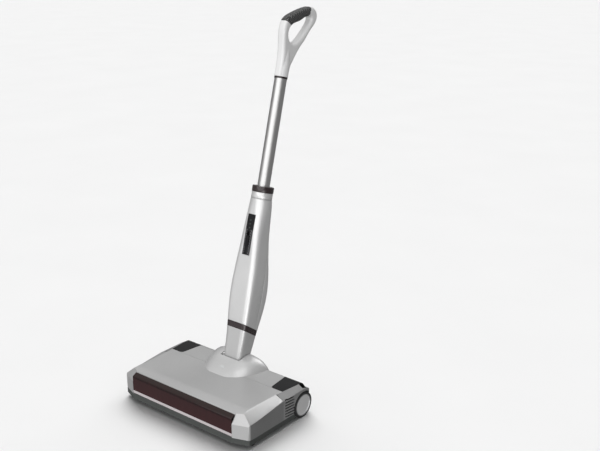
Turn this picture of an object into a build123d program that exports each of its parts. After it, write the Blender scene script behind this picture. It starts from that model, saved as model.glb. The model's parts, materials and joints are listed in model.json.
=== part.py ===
import os
from math import atan2, cos, degrees, hypot, radians, sin

from build123d import *

# Battery carpet sweeper: a flat head with a driven brush, and a tilting handle with a telescopic
# tube. Millimetres, +Z up. Head parts are drawn with Y = 0 at the front face and Z = 0 on
# the floor. Handle parts are drawn upright, with Z along the handle's axis and the tilt pin at the
# origin, and then leaned back.

# ---- driving dimensions: whole object ----
OVERALL_DEPTH = 428.9        # front face of the head to the back of the grip
HALF_WIDTH = 175.0           # half the head's width
WALL = 2.5                   # wall of every moulded shell
SEAM = 0.4                   # visible gap between two covers
MOVING_GAP = 0.5             # gap between a moving piece and what it passes
FAR = 500.0                  # further than any piece reaches, for cuts that take all of a direction
ALL = (-FAR, FAR)
NECK_GAP = 1.0               # gap between the neck and the slot it swings in

# ---- head form ----
SKIRT_Z = 9.0                # underside of the skirt
SKIRT_TOP_Z = 20.0           # top of the skirt
TOP_Z = 70.0                 # flat top
CREASE_Z = 60.5              # where the front face starts to lean back
BROW_Y, BROW_Z = 10.0, 66.0  # upper edge of the front window
FLAT_START_Y = 30.0          # the flat top starts here
REAR_TOP_Y = 185.0           # the flat top ends here
REAR_MID = (199.0, 50.0)     # a point on the curved back
REAR_LOW = (208.0, 18.0)     # lower end of the curved back
WINDOW_HALF = 140.0          # half width of the front window
FLOOR_THICKNESS = 3.0
CORNER_X, CORNER_Y = 174.0, 12.0   # front corner of the swept-back cheek
CORNER_RADIUS = 5.0
REAR_CORNER_RADIUS = 24.0
RIDGE_RADIUS = 7.0           # rounding along the flat top's two sides
CHEEK_BEVEL_Z = 49.5         # lower edge of the bevel over the cheek
ROUNDED_PROFILE = (          # height, depth and radius of each rounded corner of the side view
    (CREASE_Z, 0.0, 3.0), (BROW_Z, BROW_Y, 12.0), (TOP_Z, FLAT_START_Y, 60.0), (TOP_Z, REAR_TOP_Y, 14.0))
RIDGE = (                    # Y, X of the ridge beside the flat top, Z of the side bevel's lower edge
    (-6.0, 152.0, 49.0), (112.0, 155.0, 62.0), (216.0, 167.0, 64.0))
PANEL_REAR_Y = 112.0         # the silver side bevel ends here
LOUVRE_COUNT = 7             # slots in the side panel, front of the wheel
LOUVRE_Y = (117.0, 146.0)
LOUVRE_LOW_Z = 23.5
LOUVRE_PITCH = 6.1
LOUVRE_HEIGHT = 3.2
LOUVRE_DEPTH = 7.0
LOUVRE_TILT = -5.0           # degrees, lower at the back
DECK_SEAM_Y = 129.5          # seam between the top cover and the rear deck
CAP_INNER_FRONT, CAP_INNER_REAR = 127.0, 120.0   # inner edge of the black corner cap
CAP_CORNER_RADIUS = 7.0
TRIM_Z = (22.5, 29.0)        # pale strip under the window
REAR_WALL_TOP_Z = 44.0       # top of the dust bin's door
CASE_SCREW_X = (-125.0, -60.0, 60.0, 125.0)
CASE_SCREW_Y = 66.0

# ---- rear wheels ----
WHEEL_Y = 174.5
TYRE_RADIUS = 27.5
HUB_RADIUS = 22.5
TRIM_RING = (20.7, 22.5)     # chrome ring on the hub's face
WHEEL_X = (152.0, 174.0)     # inner and outer face of the tyre
WHEEL_WELL_RADIUS = 30.0
FENDER_RADIUS = 35.5         # the head's end is rounded to this behind the wheel
FENDER_X = 162.0
WELL_WALL_X = (144.5, 147.0)
AXLE_RADIUS = 3.0
RUNNING_FIT = 0.05           # radial clearance of every turning joint
TREAD_GROOVES = (5.0, 11.0, 17.0)
TREAD_WIDTH, TREAD_DEPTH = 1.4, 1.0
HUB_BOSS_RADIUS = 7.0
HUB_RIM, HUB_FACE = 2.0, 5.0
RING_DEPTH = 1.5

# ---- front rollers ----
ROLLER_X = (158.5, 167.5)
ROLLER_Y = 30.0
ROLLER_RADIUS = 10.0
ROLLER_PIN_RADIUS = 1.5
FORK_TOP_Z = 22.0
FORK_WALL = 2.0

# ---- brush, belt and motor ----
BRUSH_Y, BRUSH_Z = 34.0, 27.5
BRUSH_HALF = 134.0
BRUSH_CORE_RADIUS = 11.0
BRISTLE_RADIUS = 25.0
BRUSH_SHAFT_RADIUS = 3.0
BRISTLE_ROWS = 4
TUFT_WIDTH = 3.0
TWIST_STEPS = 6              # sections in each half of a bristle row
BRISTLE_TWIST = 150.0        # degrees each row turns from the middle to an end
BRUSH_OPENING_Y = (7.5, 61.0)
BEARING_X = (138.0, 143.0)
PULLEY_X = (-154.0, -147.0)
BRUSH_PULLEY_RADIUS = 12.0
MOTOR_PULLEY_RADIUS = 5.0
MOTOR_Y, MOTOR_Z = 100.0, 31.0
MOTOR_RADIUS = 16.0
MOTOR_X = (-143.0, -99.0)
MOTOR_SHAFT_RADIUS = 1.6
BELT_THICKNESS = 1.6
BELT_GAP = 0.3
PULLEY_FLANGE = 2.0          # height of a pulley's lips
BUSH_WALL = 1.5
MOTOR_WALL = 3.0

# ---- dust bin ----
BIN_HALF = 90.0
BIN_FRONT_Y = 72.0
BIN_FLOOR_Z = 12.6
BIN_WALL = 2.0
GUIDE_REACH = 3.0            # outer face of the bin's guides, beyond the bin
BIN_CEILING_Z = 41.0
BIN_REAR_Y = 200.0           # back of the tray, in front of the door
BIN_DOOR_Y = 190.0           # the door's front end
BIN_RAMP_HEIGHT = 10.0       # lip that the dirt is thrown over
BIN_GRIP = (9.0, 28.0)       # radius and half width of the finger groove in the door
FILTER_HALF, FILTER_THICKNESS = 78.0, 5.0

# ---- saddle on the head and tilt joint ----
PIVOT_Y, PIVOT_Z = 159.0, 60.0
HANDLE_LEAN = 15.0           # degrees from upright when parked
TILT_TRAVEL = 50.0           # degrees further back in use
PIVOT_PIN_RADIUS = 4.0
BARREL_RADIUS = 13.0
BRACKET_THICKNESS, BRACKET_HALF = 6.0, 14.0   # ears that hold the tilt pin
SHELF_HALF = 26.0            # half depth of the shelf under the tilt pin
SPRING_THICKNESS = 0.6
SADDLE_SECTIONS = (          # Y, half width at the foot and top of the hump that carries the handle
    (97.0, 38.0, 68.0), (112.0, 47.0, 73.0), (127.0, 56.0, 80.5), (143.0, 64.0, 88.5), (160.0, 70.0, 93.5),
    (177.0, 74.0, 94.0), (187.0, 74.0, 88.0))
SADDLE_FOOT_Z = 62.0
SADDLE_SHAPE = (             # share of the half width, share of the rise
    (1.0, 0.0), (0.97, 0.28), (0.84, 0.66), (0.62, 0.92), (0.35, 1.0))
SADDLE_LENS = (6.5, 2.6)     # half width and half depth
SADDLE_LENS_Y = 123.0
SHIELD_RADIUS = 28.0         # curved shield on the neck that closes the slot
SHIELD_WALL = 2.0
SHIELD_REACH = (-62.0, 70.0) # degrees from upright, front and back
NECK_FRONT_LOW, NECK_BACK_LOW = 24.0, 42.0   # along the neck, where its sides start to taper to the barrel

# ---- handle body: along the axis, half width, depth to the front, depth to the back, corner ----
BODY_SECTIONS = (
    (22.0, 24.0, 16.5, 19.5, 10.0),
    (61.0, 25.5, 18.8, 26.0, 11.0),
    (97.0, 27.5, 20.5, 31.5, 11.5),
    (146.0, 30.0, 23.5, 38.0, 12.0),
    (200.0, 30.0, 23.5, 35.5, 12.5),
    (255.0, 26.5, 22.5, 27.0, 13.0),
    (305.0, 24.0, 22.5, 23.5, 16.0),
    (364.0, 22.0, 22.0, 22.0, 21.5),
)
BAND_ALONG = 89.5
BAND_HEIGHT = 12.0
BAND_SLANT = 20.0            # degrees, higher at the front
SHELL_SPLIT = 16.0           # depth behind the axis where the two body shells meet
COLLAR_TOP = 390.5
COLLAR_RING_HEIGHT = 12.0
COLLAR_RADIUS = 22.0
PANEL_ALONG = (246.0, 331.0)
PANEL_HALF = 9.5
SWITCH_ALONG = 276.0
SWITCH_TRAVEL = 8.0
SWITCH_HALF = (4.0, 10.4)    # half width and half length of the thumb piece
SWITCH_DEPTH = (-26.4, -18.6)
RIB_COUNT, RIB_PITCH, RIB_DEPTH = 5, 3.6, 0.9
LENS_RADIUS = 1.6
LENS_ALONG = (303.0, 311.0, 319.0)
SCREW_PLACES = ((-19.0, 205.0, 24.0), (19.0, 205.0, 24.0), (-11.0, 262.0, 22.0), (11.0, 262.0, 22.0))
SCREW_HOLE_RADIUS = 3.2
SOCKET_ALONG = 284.0
SOCKET_RADIUS = 5.0
SOCKET_DEPTH = (15.6, 24.2)  # inner end and mouth, behind the handle's axis
JACK_RADIUS = 2.75           # for a 5.5 mm barrel plug
JACK_DEPTH = 7.0
CELL_RADIUS, CELL_LENGTH = 8.2, 43.0
CELL_BEHIND = 22.4           # behind the handle's axis
CELL_LOW = 114.0
CELL_GAP = 0.8
BOARD_ALONG = (208.0, 248.0)
BOARD_HALF, BOARD_THICKNESS = 15.0, 1.6

# ---- telescopic tube and grip ----
TUBE_RADIUS = 13.0
TUBE_WALL = 1.2
GUIDE_RADII = (15.2, 13.4)   # sleeve that the tube slides in
GUIDE_BOTTOM = 60.0
TUBE_BOTTOM = 132.0
TUBE_TOP = 614.0
TUBE_PLUG = 24.0             # length of tube inside the grip
CUFF_LENGTH, CUFF_BLEND = 18.0, 50.0   # round foot of the grip, and its taper
GRIP_RING_HEIGHT = 4.0
GRIP_HALF_THICKNESS = 10.0
GRIP_ROUNDING = 6.5

HANDLE_PLACE = Location((0, PIVOT_Y, PIVOT_Z), (-HANDLE_LEAN, 0, 0))
TILTED_PLACE = Location((0, PIVOT_Y, PIVOT_Z), (-HANDLE_LEAN - TILT_TRAVEL, 0, 0))


# ---- helpers ----
def block(x, y, z):
    """A box between two limits on each axis."""
    size = [high - low for low, high in (x, y, z)]
    middle = [(high + low) / 2 for low, high in (x, y, z)]
    return Pos(*middle) * Box(*size)


def rod_x(radius, x, y, z):
    """A cylinder along X between two limits."""
    length = x[1] - x[0]
    return Pos((x[0] + x[1]) / 2, y, z) * Rot(0, 90, 0) * Cylinder(radius, length)


def rod_y(radius, x, y, z):
    """A cylinder along Y between two limits."""
    length = y[1] - y[0]
    return Pos(x, (y[0] + y[1]) / 2, z) * Rot(90, 0, 0) * Cylinder(radius, length)


def ring_x(outer, inner, x, y, z):
    """A tube along X between two limits."""
    return rod_x(outer, x, y, z) - rod_x(inner, (x[0] - 1, x[1] + 1), y, z)


def ring_z(outer, inner, z):
    """A tube along Z between two heights."""
    height = z[1] - z[0]
    tube = Cylinder(outer, height) - Cylinder(inner, height + 2)
    return Pos(0, 0, (z[0] + z[1]) / 2) * tube


def prism_x(outline, x):
    """A (Y, Z) outline extruded along X between two limits."""
    return Pos(x[0], 0, 0) * extrude(Plane.YZ * outline, x[1] - x[0])


def polygon(*points):
    """A face with straight sides through the points."""
    return make_face(Polyline(*points, close=True))


def left_of(shape):
    """The same shape on the other side of the middle plane."""
    return mirror(shape, Plane.YZ)


def both_sides(shape):
    """The shape and its mirror image."""
    return shape + left_of(shape)


def save(node, shape):
    """Write one piece, with the object's box centred in depth."""
    placed = Pos(0, -OVERALL_DEPTH / 2, 0) * shape
    export_step(placed, f"parts/{node}.step")


# ---- the head's outer form ----
def side_outline(inset):
    """Side view of the head, shrunk by inset everywhere but underneath."""
    top = TOP_Z - inset
    front = Polyline(
        (inset, SKIRT_Z), (inset, CREASE_Z), (BROW_Y, BROW_Z - inset),
        (FLAT_START_Y, top), (REAR_TOP_Y - inset / 2, top))
    back = ThreePointArc(
        (REAR_TOP_Y - inset / 2, top), (REAR_MID[0] - inset, REAR_MID[1] - inset / 2),
        (REAR_LOW[0] - inset, REAR_LOW[1]))
    under = Polyline((REAR_LOW[0] - inset, REAR_LOW[1]), (REAR_LOW[0] - inset, SKIRT_Z), (inset, SKIRT_Z))
    outline = make_face(front + back + under)
    for height, depth, radius in ROUNDED_PROFILE:
        corner = outline.vertices().sort_by_distance((depth, height - inset, 0))[0]
        outline = fillet(corner, radius)
    return outline


def plan_outline(inset):
    """Top view of the head, shrunk by inset."""
    half = HALF_WIDTH - inset
    right = [
        (WINDOW_HALF, inset), (CORNER_X - inset, CORNER_Y + inset / 2), (half, FLAT_START_Y),
        (half, REAR_LOW[0] - inset)]
    left = [(-x, y) for x, y in reversed(right)]
    outline = polygon(*right, *left)
    front_corners = outline.vertices().filter_by_position(Axis.Y, CORNER_Y - 1, CORNER_Y + 3)
    outline = fillet(front_corners, CORNER_RADIUS)
    rear_corners = outline.vertices().sort_by(Axis.Y)[-2:]
    return fillet(rear_corners, REAR_CORNER_RADIUS)


def side_bevel(inset):
    """What the sloping side bevel takes off the right side."""
    faces = []
    for y, ridge, edge in RIDGE:
        outer = HALF_WIDTH + 10
        slope = (TOP_Z - edge) / (HALF_WIDTH - ridge)
        start = ridge - 1.5 * inset
        faces.append(Plane.XZ.offset(-y) * polygon(
            (start, TOP_Z), (outer, TOP_Z - slope * (outer - start)),
            (outer, TOP_Z + 10), (start, TOP_Z + 10)))
    return loft(faces[:2], ruled=True) + loft(faces[1:], ruled=True)


def cheek_bevel(inset):
    """What the bevel over the right cheek takes off."""
    sweep = degrees(atan2(CORNER_Y, CORNER_X - WINDOW_HALF))
    rise = TOP_Z + 10 - CHEEK_BEVEL_Z
    run = (BROW_Y + 2) / (BROW_Z - CHEEK_BEVEL_Z) * rise
    wedge = prism_x(polygon(
        (inset, CHEEK_BEVEL_Z), (inset + run, CHEEK_BEVEL_Z + rise),
        (-40, CHEEK_BEVEL_Z + rise), (-40, CHEEK_BEVEL_Z)), (-20, 70))
    wedge = Location((WINDOW_HALF, 0, 0), (0, 0, sweep)) * wedge
    return wedge & block((WINDOW_HALF, HALF_WIDTH + 20), (-50, 80), (0, 100))


def rounded_head():
    """The head's outer form with its ridges rounded."""
    form = head_form()
    top_flat = form.faces().filter_by(Axis.Z).sort_by(Axis.Z)[-1]
    ridges = [
        edge for edge in top_flat.edges()
        if abs(edge.center().X) > RIDGE[0][1] and FLAT_START_Y < edge.center().Y < REAR_TOP_Y]
    form = fillet(ridges, RIDGE_RADIUS)
    behind = block((FENDER_X, FAR), (WHEEL_Y, FAR), (TYRE_RADIUS, FAR))
    return form - both_sides(behind - rod_x(FENDER_RADIUS, (0, FAR), WHEEL_Y, TYRE_RADIUS))


def head_form(inset=0.0):
    """The head as one solid block."""
    body = prism_x(side_outline(inset), (-HALF_WIDTH, HALF_WIDTH))
    body &= extrude(Pos(0, 0, SKIRT_Z - 1) * plan_outline(inset), TOP_Z)
    body -= both_sides(side_bevel(inset))
    return body - both_sides(cheek_bevel(inset))


HEAD_SOLID = rounded_head()
HEAD_SHELL = HEAD_SOLID - head_form(WALL)
HEAD_INSIDE = head_form(WALL + SEAM)
WHEEL_WELLS = both_sides(rod_x(WHEEL_WELL_RADIUS, (WELL_WALL_X[1], HALF_WIDTH + 5), WHEEL_Y, TYRE_RADIUS))


def neck_swing(gap, reach=90.0):
    """Room that the neck needs between parked and fully back, seen from the side."""
    def at(place, behind, along):
        point = place * Pos(0, behind, along)
        return (point.position.Y, point.position.Z)
    front = BODY_SECTIONS[1][2] + gap
    back = BODY_SECTIONS[1][3] + gap
    sweep = polygon(
        at(HANDLE_PLACE, -BARREL_RADIUS - gap, 0), at(HANDLE_PLACE, -front, NECK_FRONT_LOW),
        at(HANDLE_PLACE, -front, reach), (PIVOT_Y + 120, PIVOT_Z + 90), at(TILTED_PLACE, back, reach),
        at(TILTED_PLACE, back, NECK_BACK_LOW), at(TILTED_PLACE, BARREL_RADIUS + gap, 0))
    floor = REAR_WALL_TOP_Z + SEAM
    pivot = Pos(PIVOT_Y, PIVOT_Z)
    shield = pivot * Circle(SHIELD_RADIUS + gap) - polygon((0, 0), (FAR, 0), (FAR, floor), (0, floor))
    return sweep + shield + pivot * Circle(BARREL_RADIUS + gap)


NECK_SLOT_HALF = BODY_SECTIONS[1][1] + 1.5
NECK_SLOT = prism_x(neck_swing(NECK_GAP), (-NECK_SLOT_HALF, NECK_SLOT_HALF))


# ---- covers of the head ----
def panel_region():
    """Where the dark right side panel is, as a block."""
    outline = polygon(
        (CORNER_Y + 4, SKIRT_TOP_Z), (CORNER_Y + 4, CHEEK_BEVEL_Z + 1.5), (PANEL_REAR_Y, RIDGE[1][2]),
        (PANEL_REAR_Y + 3, TOP_Z + 1), (REAR_TOP_Y - 4, TOP_Z + 1), (WHEEL_Y + 20, WHEEL_WELL_RADIUS + 22),
        (WHEEL_Y + 20, SKIRT_TOP_Z))
    return prism_x(outline, (RIDGE[1][1] - 6, HALF_WIDTH + 5))


def ridge_region():
    """Everything outside the right ridge line and behind the silver bevel."""
    line = [(x, y) for y, x, _ in RIDGE[1:]]
    outline = polygon(*line, (HALF_WIDTH + 5, line[-1][1]), (HALF_WIDTH + 5, line[0][1]))
    return extrude(outline, TOP_Z + 5)


def side_panel():
    low = panel_region() & block((0, FAR), (0, PANEL_REAR_Y), (0, FAR))
    high = panel_region() & ridge_region()
    panel = HEAD_SHELL & (low + high)
    panel -= WHEEL_WELLS
    length = LOUVRE_Y[1] - LOUVRE_Y[0]
    for step in range(LOUVRE_COUNT):
        louvre = Rot(LOUVRE_TILT, 0, 0) * Box(2 * LOUVRE_DEPTH, length, LOUVRE_HEIGHT)
        panel -= Pos(HALF_WIDTH, sum(LOUVRE_Y) / 2, LOUVRE_LOW_Z + LOUVRE_PITCH * step) * louvre
    return panel


def cap_outline(gap=0.0):
    """Top view of the cap, grown by gap on the side of the deck."""
    outline = polygon(
        (CAP_INNER_FRONT - gap, DECK_SEAM_Y), (FAR, DECK_SEAM_Y), (FAR, FAR), (CAP_INNER_REAR - gap, FAR),
        (CAP_INNER_REAR - gap, REAR_TOP_Y))
    front_corner = outline.vertices().sort_by_distance((CAP_INNER_FRONT, DECK_SEAM_Y, 0))[0]
    return fillet(front_corner, CAP_CORNER_RADIUS)


def cap_region():
    """Where the black right rear corner cap is."""
    return extrude(cap_outline(), FAR) & block((0, FAR), (0, FAR), (SKIRT_Z, FAR))


def corner_cap():
    cap = HEAD_SHELL & cap_region()
    cap -= offset_region(panel_region() & ridge_region())
    cap -= WHEEL_WELLS
    return cap - block((0, FAR), (0, WHEEL_Y), (0, SKIRT_TOP_Z + SEAM))


def offset_region(region):
    """A region shifted both ways by one seam, so that a cut by it leaves a gap."""
    return region + Pos(0, SEAM, 0) * region + Pos(-SEAM, 0, SEAM) * region


def window_region(gap=0.0):
    half = WINDOW_HALF - SEAM + gap
    return block((-half, half), (-1, BROW_Y + gap), (TRIM_Z[1] - gap, TOP_Z + 1))


def trim_region(gap=0.0):
    half = WINDOW_HALF + gap
    return block((-half, half), (-1, 10), (TRIM_Z[0] - gap, TRIM_Z[1] + gap - SEAM))


def front_window():
    return HEAD_SHELL & window_region()


def window_trim():
    return HEAD_SHELL & trim_region()


def top_cover():
    cover = HEAD_SHELL & block(ALL, (-FAR, DECK_SEAM_Y - SEAM), (SKIRT_TOP_Z + SEAM, FAR))
    cover -= window_region(SEAM) + trim_region(SEAM)
    cover -= block((-WINDOW_HALF, WINDOW_HALF), (-1, 10), (0, TRIM_Z[0]))
    low = panel_region() & block((0, FAR), (0, PANEL_REAR_Y), (0, FAR))
    taken = offset_region(low) + (ridge_region() & block((0, FAR), (PANEL_REAR_Y, FAR), (0, FAR)))
    cover -= both_sides(taken)
    return cover - NECK_SLOT


def rear_deck():
    deck = HEAD_SHELL & block(ALL, (DECK_SEAM_Y, FAR), (REAR_WALL_TOP_Z + SEAM, FAR))
    deck -= both_sides(extrude(cap_outline(SEAM), FAR))
    return deck - NECK_SLOT


def saddle_form(inset=0.0):
    """The raised hump that carries the handle, lofted from front to back."""
    sections = []
    for y, half, top in SADDLE_SECTIONS:
        wide = half - inset
        rise = top - inset - SADDLE_FOOT_Z
        right = [(wide * across, SADDLE_FOOT_Z + rise * up) for across, up in SADDLE_SHAPE]
        left = [(-x, z) for x, z in reversed(right)]
        crown = Spline(*right, (0, SADDLE_FOOT_Z + rise), *left)
        foot = Line((-wide, SADDLE_FOOT_Z), (wide, SADDLE_FOOT_Z))
        sections.append(Plane.XZ.offset(-y) * make_face(crown + foot))
    return loft(sections)


def handle_saddle():
    return saddle_form() - saddle_form(WALL) - HEAD_SOLID - NECK_SLOT


def saddle_lens():
    """Small oval indicator on the saddle's front slope."""
    lens = extrude(Pos(0, SADDLE_LENS_Y, TOP_Z) * Ellipse(*SADDLE_LENS), FAR)
    return lens & (saddle_form(-0.3) - saddle_form(WALL))


# ---- chassis ----
def skirt_and_floor():
    """The outer skirt with the floor plate."""
    low = HEAD_SHELL & block(ALL, ALL, (SKIRT_Z, SKIRT_TOP_Z))
    low += HEAD_SHELL & block((-WINDOW_HALF, WINDOW_HALF), (-FAR, BROW_Y), (SKIRT_Z, TRIM_Z[0] - SEAM))
    floor = HEAD_SOLID & block(ALL, ALL, (SKIRT_Z, SKIRT_Z + FLOOR_THICKNESS))
    under_caps = block((CAP_INNER_REAR - SEAM, FAR), (WHEEL_Y - SEAM, FAR), (0, SKIRT_TOP_Z + 1))
    return low + floor - both_sides(under_caps)


def bin_and_pivot_walls():
    """Rear walls, wheel well walls, bin guides, the tilt pin's ears and the shelf under them."""
    above_bin = BIN_CEILING_Z + 1
    walls = both_sides(HEAD_SHELL & block(
        (BIN_HALF + 1, CAP_INNER_REAR - SEAM), (WHEEL_Y - WHEEL_WELL_RADIUS, FAR), (SKIRT_Z, REAR_WALL_TOP_Z)))
    walls += both_sides(HEAD_INSIDE & block(WELL_WALL_X, (PIVOT_Y - BARREL_RADIUS - BRACKET_HALF, FAR), ALL))
    walls += both_sides(block(
        (BIN_HALF + MOVING_GAP, BIN_HALF + GUIDE_REACH), (BRUSH_OPENING_Y[1] + 8, BIN_REAR_Y - 4),
        (SKIRT_Z, above_bin + 1)))
    ear_inside = NECK_SLOT_HALF + 1
    ears = block((ear_inside, ear_inside + BRACKET_THICKNESS),
                 (PIVOT_Y - BRACKET_HALF, PIVOT_Y + BRACKET_HALF), (above_bin, TOP_Z))
    shelf = block((-BIN_HALF - GUIDE_REACH, BIN_HALF + GUIDE_REACH),
                  (PIVOT_Y - SHELF_HALF, PIVOT_Y + SHELF_HALF), (above_bin, REAR_WALL_TOP_Z))
    return walls + (HEAD_INSIDE & (both_sides(ears) + shelf))


def brush_and_motor_walls():
    """Brush bearing walls and the motor's cradle."""
    bearings = both_sides(block(BEARING_X, (BRUSH_Y - 13, BRUSH_Y + 13), (SKIRT_Z, BRUSH_Z + 12)))
    cradle = block((MOTOR_X[0] + 6, MOTOR_X[1] - 6), (MOTOR_Y - 12, MOTOR_Y + 12), (SKIRT_Z, MOTOR_Z - 6))
    return bearings + cradle - rod_x(MOTOR_RADIUS, MOTOR_X, MOTOR_Y, MOTOR_Z)


def chassis_openings():
    """Everything that is open in the chassis."""
    openings = block((-BEARING_X[0], BEARING_X[0]), BRUSH_OPENING_Y, (0, SKIRT_TOP_Z))
    openings += both_sides(rod_x(
        BRUSH_SHAFT_RADIUS + BUSH_WALL, (BEARING_X[0] - 1, BEARING_X[1] + 1), BRUSH_Y, BRUSH_Z))
    openings += WHEEL_WELLS
    openings += both_sides(block(
        (ROLLER_X[0] - 1, ROLLER_X[1] + 1), (ROLLER_Y - 10, ROLLER_Y + 10), (0, FORK_TOP_Z)))
    openings += block((PULLEY_X[0] - 3, PULLEY_X[1] + 3), (BRUSH_Y - 15, BRUSH_Y + 15), (0, SKIRT_Z + 2))
    openings += block((-BIN_HALF - MOVING_GAP, BIN_HALF + MOVING_GAP), (BIN_DOOR_Y, FAR),
                      (BIN_FLOOR_Z - SEAM, REAR_WALL_TOP_Z))
    openings += both_sides(rod_x(AXLE_RADIUS, (WELL_WALL_X[0] - 4, WELL_WALL_X[1] + 1), WHEEL_Y, TYRE_RADIUS))
    openings += rod_x(PIVOT_PIN_RADIUS, (-NECK_SLOT_HALF - 10, NECK_SLOT_HALF + 10), PIVOT_Y, PIVOT_Z)
    return openings + NECK_SLOT


def roller_forks():
    """Forks that hold the front roller pins."""
    cheek = block((ROLLER_X[0] - 1 - FORK_WALL, ROLLER_X[0] - 1), (ROLLER_Y - 5, ROLLER_Y + 5), (6, FORK_TOP_Z))
    width = (ROLLER_X[0] - 1 - FORK_WALL, ROLLER_X[1] + 1 + FORK_WALL)
    fork = cheek + Pos(ROLLER_X[1] - ROLLER_X[0] + 2 + FORK_WALL, 0, 0) * cheek
    fork += block(width, (ROLLER_Y - 11, ROLLER_Y + 11), (FORK_TOP_Z - 1.5, FORK_TOP_Z))
    fork += block(width, (ROLLER_Y + 10, ROLLER_Y + 10 + FORK_WALL), (SKIRT_Z, FORK_TOP_Z))
    return both_sides(fork)


def chassis():
    base = skirt_and_floor() + bin_and_pivot_walls() + brush_and_motor_walls()
    return base - chassis_openings() + roller_forks() - front_roller_pins()


# ---- running gear ----
def tyre():
    """Right tyre with shallow tread grooves."""
    ring = ring_x(TYRE_RADIUS, HUB_RADIUS, WHEEL_X, WHEEL_Y, TYRE_RADIUS)
    for groove in TREAD_GROOVES:
        x = WHEEL_X[0] + groove
        span = (x - TREAD_WIDTH / 2, x + TREAD_WIDTH / 2)
        ring -= ring_x(TYRE_RADIUS + 1, TYRE_RADIUS - TREAD_DEPTH, span, WHEEL_Y, TYRE_RADIUS)
    return ring


def hub():
    """Right wheel hub, closed on the outside, turning on the stub axle."""
    disc = rod_x(HUB_RADIUS, WHEEL_X, WHEEL_Y, TYRE_RADIUS)
    inside = WHEEL_X[0] - 1
    disc -= ring_x(HUB_RADIUS - HUB_RIM, HUB_BOSS_RADIUS, (inside, WHEEL_X[1] - HUB_FACE), WHEEL_Y, TYRE_RADIUS)
    disc -= rod_x(AXLE_RADIUS + RUNNING_FIT, (inside, WHEEL_X[1] - HUB_FACE + 1), WHEEL_Y, TYRE_RADIUS)
    groove = (WHEEL_X[1] - RING_DEPTH, WHEEL_X[1] + 1)
    return disc - ring_x(HUB_RADIUS + 1, TRIM_RING[0], groove, WHEEL_Y, TYRE_RADIUS)


def hub_ring():
    """Chrome ring set into the hub's face."""
    return ring_x(*reversed(TRIM_RING), (WHEEL_X[1] - RING_DEPTH, WHEEL_X[1] + 1), WHEEL_Y, TYRE_RADIUS)


def wheel_axles():
    return both_sides(rod_x(AXLE_RADIUS, (WELL_WALL_X[0] - 3, WHEEL_X[1] - 6), WHEEL_Y, TYRE_RADIUS))


def front_roller():
    return ring_x(ROLLER_RADIUS, ROLLER_PIN_RADIUS + RUNNING_FIT, ROLLER_X, ROLLER_Y, ROLLER_RADIUS)


def front_roller_pins():
    return both_sides(rod_x(ROLLER_PIN_RADIUS, (ROLLER_X[0] - 1 - FORK_WALL, ROLLER_X[1] + 1 + FORK_WALL),
                            ROLLER_Y, ROLLER_RADIUS))


# ---- brush drive ----
def brush_shaft():
    return rod_x(BRUSH_SHAFT_RADIUS, (PULLEY_X[0] - 1, BEARING_X[1]), BRUSH_Y, BRUSH_Z)


def brush_core():
    return ring_x(BRUSH_CORE_RADIUS, BRUSH_SHAFT_RADIUS, (-BRUSH_HALF, BRUSH_HALF), BRUSH_Y, BRUSH_Z)


def bristle_strips():
    """Rows of tufts that wind from both ends towards the middle."""
    middle = (BRUSH_CORE_RADIUS + BRISTLE_RADIUS) / 2
    root = Pos(0, middle) * Rectangle(TUFT_WIDTH, BRISTLE_RADIUS - BRUSH_CORE_RADIUS + 0.4)
    root -= Circle(BRUSH_CORE_RADIUS)
    half_length = BRUSH_HALF - 2
    right = extrude_twisted(root, half_length, BRISTLE_TWIST)
    left = mirror(right, Plane.XY)
    rows = []
    for row in range(BRISTLE_ROWS):
        turn = Rot(0, 0, 360 / BRISTLE_ROWS * row)
        rows += [turn * right, turn * left]
    return Pos(0, BRUSH_Y, BRUSH_Z) * Rot(0, 90, 0) * Compound(rows)


def extrude_twisted(face, length, angle):
    """A face swept along Z while it turns about the Z axis."""
    shares = [step / TWIST_STEPS for step in range(TWIST_STEPS + 1)]
    return loft([Pos(0, 0, length * share) * Rot(0, 0, angle * share) * face for share in shares])


def pulley(radius, shaft_radius, y, z):
    """A flanged belt pulley fixed on its shaft."""
    groove = ring_x(radius + 1, radius - PULLEY_FLANGE, between_lips(1.0), y, z)
    return ring_x(radius, shaft_radius, PULLEY_X, y, z) - groove


def between_lips(lip):
    """The span between a pulley's two lips."""
    return (PULLEY_X[0] + lip, PULLEY_X[1] - lip)


def brush_bearings():
    """Plain bushes that carry the brush shaft's two ends."""
    return both_sides(ring_x(
        BRUSH_SHAFT_RADIUS + BUSH_WALL, BRUSH_SHAFT_RADIUS + RUNNING_FIT, BEARING_X, BRUSH_Y, BRUSH_Z))


def motor_housing():
    body = rod_x(MOTOR_RADIUS, MOTOR_X, MOTOR_Y, MOTOR_Z)
    inside = (MOTOR_X[0] + MOTOR_WALL, MOTOR_X[1] - MOTOR_WALL)
    body -= rod_x(MOTOR_RADIUS - MOTOR_WALL, inside, MOTOR_Y, MOTOR_Z)
    return body - rod_x(MOTOR_SHAFT_RADIUS + RUNNING_FIT, (MOTOR_X[0] - 1, MOTOR_X[1] + 1), MOTOR_Y, MOTOR_Z)


def motor_shaft():
    return rod_x(MOTOR_SHAFT_RADIUS, (PULLEY_X[0], MOTOR_X[1] - 1), MOTOR_Y, MOTOR_Z)


def motor_armature():
    span = (MOTOR_X[0] + 8, MOTOR_X[1] - 8)
    return ring_x(MOTOR_RADIUS - MOTOR_WALL - 1, MOTOR_SHAFT_RADIUS, span, MOTOR_Y, MOTOR_Z)


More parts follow.
